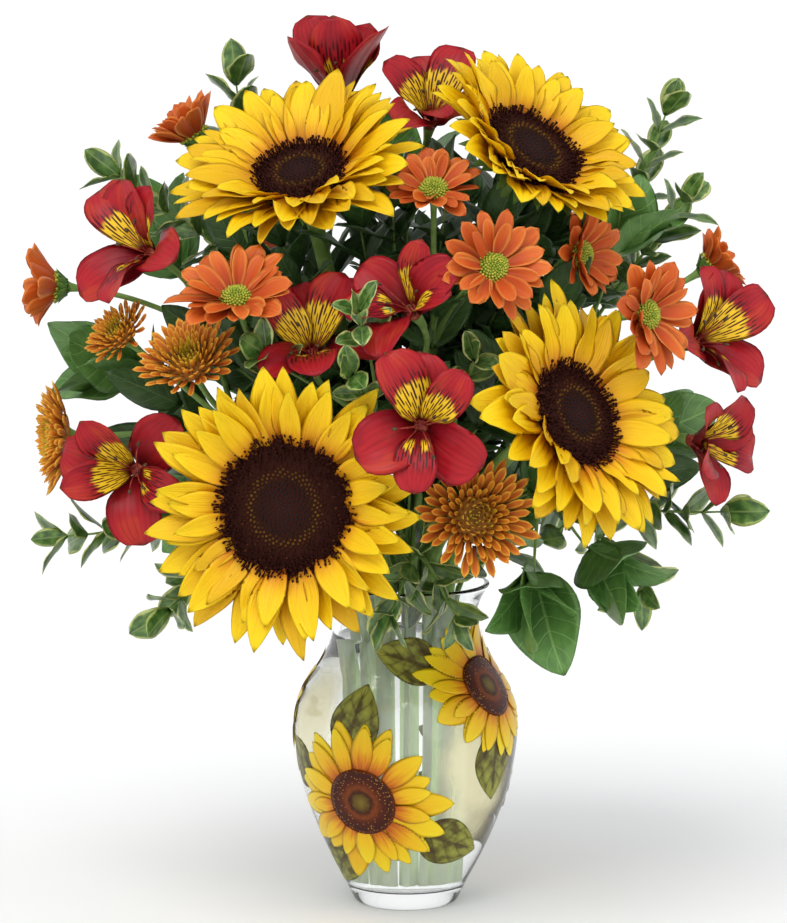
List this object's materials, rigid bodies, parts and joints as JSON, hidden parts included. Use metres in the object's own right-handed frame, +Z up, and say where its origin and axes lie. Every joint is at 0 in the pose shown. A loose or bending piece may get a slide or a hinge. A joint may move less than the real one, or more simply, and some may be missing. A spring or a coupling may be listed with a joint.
{
  "type": "flower arrangement in a glass vase",
  "caption": "Clear glass vase painted with sunflowers, filled with water, holding sunflowers, orange daisies, bronze chrysanthemums, red alstroemerias and greenery.",
  "frame": {"origin": "centre of the vase's underside, on the surface that it stands on", "axes": "+Z up the vase, -Y towards the arrangement's front, +X to the viewer's right"},
  "size_m": [0.3397, 0.2801, 0.4034],
  "materials": {
    "clear_glass": "clear, polished, with painted sunflowers on it",
    "water": "clear",
    "sunflower_petal": "satin, finely grooved",
    "sunflower_disc": "matt, fuzzy",
    "daisy_petal": "satin",
    "mum_petal": "satin",
    "alstroemeria_petal": "satin",
    "green_stem": "satin",
    "edged_leaf": "semi-gloss, pale edge",
    "broad_leaf": "satin, pale veins"
  },
  "bodies": {
    "root": {"alstroemeria_1": "alstroemeria_petal", "alstroemeria_10": "alstroemeria_petal", "alstroemeria_11": "alstroemeria_petal", "alstroemeria_2": "alstroemeria_petal", "alstroemeria_3": "alstroemeria_petal", "alstroemeria_4": "alstroemeria_petal", "alstroemeria_5": "alstroemeria_petal", "alstroemeria_6": "alstroemeria_petal", "alstroemeria_7": "alstroemeria_petal", "alstroemeria_8": "alstroemeria_petal", "alstroemeria_9": "alstroemeria_petal", "alstroemeria_stem_back": "green_stem", "alstroemeria_stem_left": "green_stem", "alstroemeria_stem_middle": "green_stem", "alstroemeria_stem_right": "green_stem", "alstroemeria_stem_top": "green_stem", "daisy_1": "daisy_petal", "daisy_10": "daisy_petal", "daisy_2": "daisy_petal", "daisy_3": "daisy_petal", "daisy_4": "daisy_petal", "daisy_5": "daisy_petal", "daisy_6": "daisy_petal", "daisy_7": "daisy_petal", "daisy_8": "daisy_petal", "daisy_9": "daisy_petal", "daisy_stem_back": "green_stem", "daisy_stem_left": "green_stem", "daisy_stem_middle": "green_stem", "daisy_stem_right": "green_stem", "leaves_back": "broad_leaf", "leaves_left": "broad_leaf", "leaves_right": "broad_leaf", "mum_1": "mum_petal", "mum_2": "mum_petal", "mum_3": "mum_petal", "mum_4": "mum_petal", "mum_5": "mum_petal", "mum_stem_back": "green_stem", "mum_stem_front": "green_stem", "mum_stem_left": "green_stem", "sprig_front": "edged_leaf", "sprig_lower_left": "edged_leaf", "sprig_lower_right": "edged_leaf", "sprig_right": "edged_leaf", "sprig_upper_left": "edged_leaf", "sunflower_1_disc": "sunflower_disc", "sunflower_1_petals": "sunflower_petal", "sunflower_1_stem": "green_stem", "sunflower_2_disc": "sunflower_disc", "sunflower_2_petals": "sunflower_petal", "sunflower_2_stem": "green_stem", "sunflower_3_disc": "sunflower_disc", "sunflower_3_petals": "sunflower_petal", "sunflower_3_stem": "green_stem", "sunflower_4_disc": "sunflower_disc", "sunflower_4_petals": "sunflower_petal", "sunflower_4_stem": "green_stem", "vase": "clear_glass", "water": "water"}
  },
  "joints": []
}
